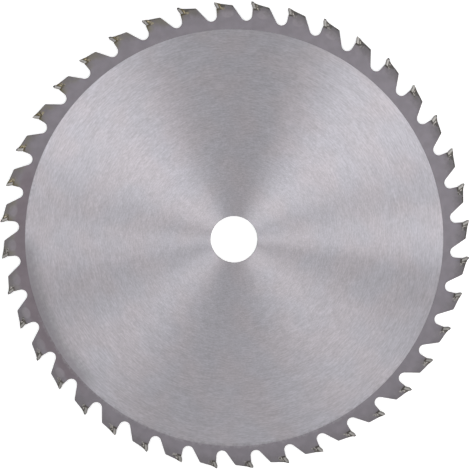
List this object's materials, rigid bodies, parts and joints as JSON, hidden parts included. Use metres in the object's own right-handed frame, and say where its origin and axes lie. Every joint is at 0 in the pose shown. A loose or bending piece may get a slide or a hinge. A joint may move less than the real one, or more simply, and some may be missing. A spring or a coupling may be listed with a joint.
{
  "type": "brush cutter blade",
  "caption": "Flat round steel cutting blade with a plain central bore and brazed carbide teeth, ground in turn high with bevelled corners and flat.",
  "frame": {"origin": "centre of the bore, halfway through the plate's thickness", "axes": "+Z along the bore's axis, out of the face on which the teeth point anticlockwise; +Y up in the picture"},
  "size_m": [0.2544, 0.2544, 0.0022],
  "materials": {
    "plate_steel": "circular satin grind inside, matt blasted rim",
    "tip_carbide": "fine ground carbide",
    "braze_alloy": "dull braze with heat tint"
  },
  "bodies": {
    "root": {"blade_body": "plate_steel", "braze": "braze_alloy", "high_tip_01": "tip_carbide", "high_tip_02": "tip_carbide", "high_tip_03": "tip_carbide", "high_tip_04": "tip_carbide", "high_tip_05": "tip_carbide", "high_tip_06": "tip_carbide", "high_tip_07": "tip_carbide", "high_tip_08": "tip_carbide", "high_tip_09": "tip_carbide", "high_tip_10": "tip_carbide", "high_tip_11": "tip_carbide", "high_tip_12": "tip_carbide", "high_tip_13": "tip_carbide", "high_tip_14": "tip_carbide", "high_tip_15": "tip_carbide", "high_tip_16": "tip_carbide", "high_tip_17": "tip_carbide", "high_tip_18": "tip_carbide", "high_tip_19": "tip_carbide", "high_tip_20": "tip_carbide", "flat_tip_01": "tip_carbide", "flat_tip_02": "tip_carbide", "flat_tip_03": "tip_carbide", "flat_tip_04": "tip_carbide", "flat_tip_05": "tip_carbide", "flat_tip_06": "tip_carbide", "flat_tip_07": "tip_carbide", "flat_tip_08": "tip_carbide", "flat_tip_09": "tip_carbide", "flat_tip_10": "tip_carbide", "flat_tip_11": "tip_carbide", "flat_tip_12": "tip_carbide", "flat_tip_13": "tip_carbide", "flat_tip_14": "tip_carbide", "flat_tip_15": "tip_carbide", "flat_tip_16": "tip_carbide", "flat_tip_17": "tip_carbide", "flat_tip_18": "tip_carbide", "flat_tip_19": "tip_carbide", "flat_tip_20": "tip_carbide"}
  },
  "joints": []
}
